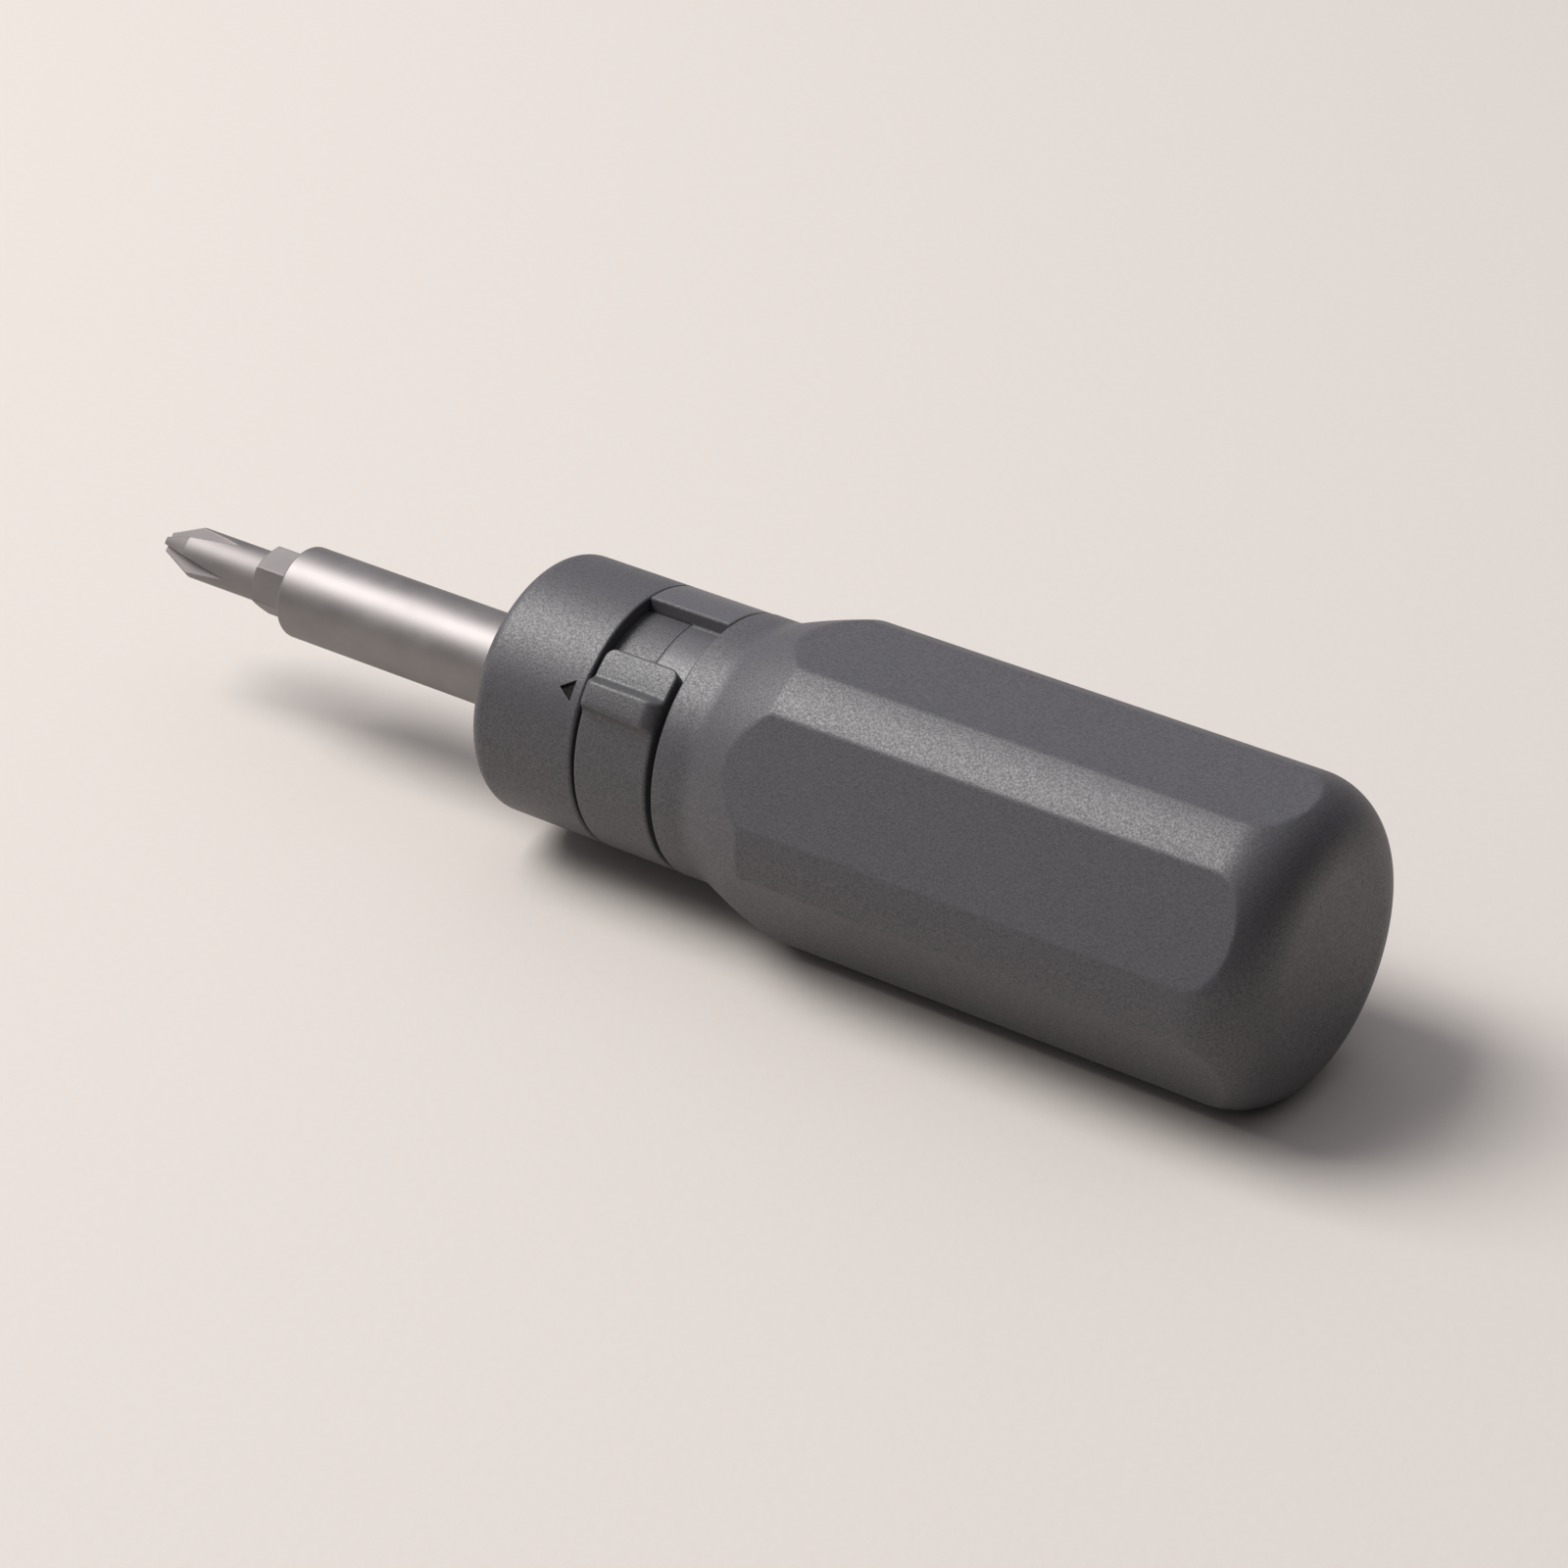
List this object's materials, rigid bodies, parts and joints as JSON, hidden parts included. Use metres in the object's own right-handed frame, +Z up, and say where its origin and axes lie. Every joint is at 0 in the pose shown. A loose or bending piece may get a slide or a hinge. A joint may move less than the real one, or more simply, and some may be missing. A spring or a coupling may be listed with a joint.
{
  "type": "ratcheting screwdriver",
  "caption": "Short ratcheting screwdriver with a hex insert bit, a steel bit holder, a collar with a sliding direction selector and a stout handle with milled flats.",
  "frame": {"origin": "Bottom centre of the tool's box as it lies on one flat of its handle: the ground plane, midway between the bit's tip and the handle's rear face.", "axes": "+X along the tool's axis from the bit's tip to the handle's rear face, +Z up, the thumb tab on the -Y side above the axis."},
  "size_m": [0.1402, 0.0326, 0.0306],
  "materials": {
    "bit_steel": "satin",
    "shaft_steel": "satin",
    "collar_plastic": "matte",
    "selector_plastic": "matte",
    "housing_alloy": "matte",
    "handle_coating": "matte",
    "core_plastic": "matte",
    "gear_steel": "satin",
    "pin_steel": "satin",
    "spring_steel": "satin",
    "bush_bronze": "satin",
    "magnet_plating": "satin"
  },
  "bodies": {
    "handle_body": {"handle_grip": "handle_coating", "handle_core": "core_plastic", "ratchet_housing": "housing_alloy", "nose_collar": "collar_plastic", "nose_bush": "bush_bronze", "front_thrust_washer": "bush_bronze", "pawl_pins": "pin_steel", "forward_pawl_spring": "spring_steel", "reverse_pawl_spring": "spring_steel", "detent_spring": "spring_steel", "housing_screws": "pin_steel", "rear_bush": "bush_bronze", "thrust_ball": "pin_steel", "thrust_plate": "gear_steel", "housing_cross_pin": "pin_steel"},
    "shaft_body": {"bit_holder_shaft": "shaft_steel", "socket_magnet": "magnet_plating", "bit_retaining_ring": "spring_steel", "ratchet_gear": "gear_steel", "gear_retaining_clip": "spring_steel"},
    "bit_body": {"phillips_bit": "bit_steel"},
    "selector_body": {"selector_ring": "selector_plastic"},
    "forward_pawl_body": {"forward_pawl": "gear_steel"},
    "reverse_pawl_body": {"reverse_pawl": "gear_steel"}
  },
  "joints": [
    {"name": "shaft_spin", "type": "hinge", "parent": "handle_body", "child": "shaft_body", "pos_m": [0, 0, 0.01529], "axis": [1, 0, 0], "continuous": true},
    {"name": "bit_pull", "type": "slide", "parent": "shaft_body", "child": "bit_body", "axis": [-1, 0, 0], "range_m": [0, 0.012], "deforming": ["bit_retaining_ring"]},
    {"name": "selector_turn", "type": "hinge", "parent": "handle_body", "child": "selector_body", "pos_m": [0, 0, 0.01529], "axis": [1, 0, 0], "range_deg": [-28, 28], "deforming": ["detent_spring"]},
    {"name": "forward_pawl_rock", "type": "hinge", "parent": "handle_body", "child": "forward_pawl_body", "pos_m": [0, -0.00802, 0.01699], "axis": [1, 0, 0], "range_deg": [-5.5, 5.5], "deforming": ["forward_pawl_spring"]},
    {"name": "reverse_pawl_rock", "type": "hinge", "parent": "handle_body", "child": "reverse_pawl_body", "pos_m": [0, 0.00435, 0.00834], "axis": [1, 0, 0], "range_deg": [-5.5, 5.5], "deforming": ["reverse_pawl_spring"]}
  ],
  "couplings": [
    {"joint": "forward_pawl_rock", "follows": "selector_turn", "ratio": -0.19643},
    {"joint": "reverse_pawl_rock", "follows": "selector_turn", "ratio": -0.19643}
  ]
}
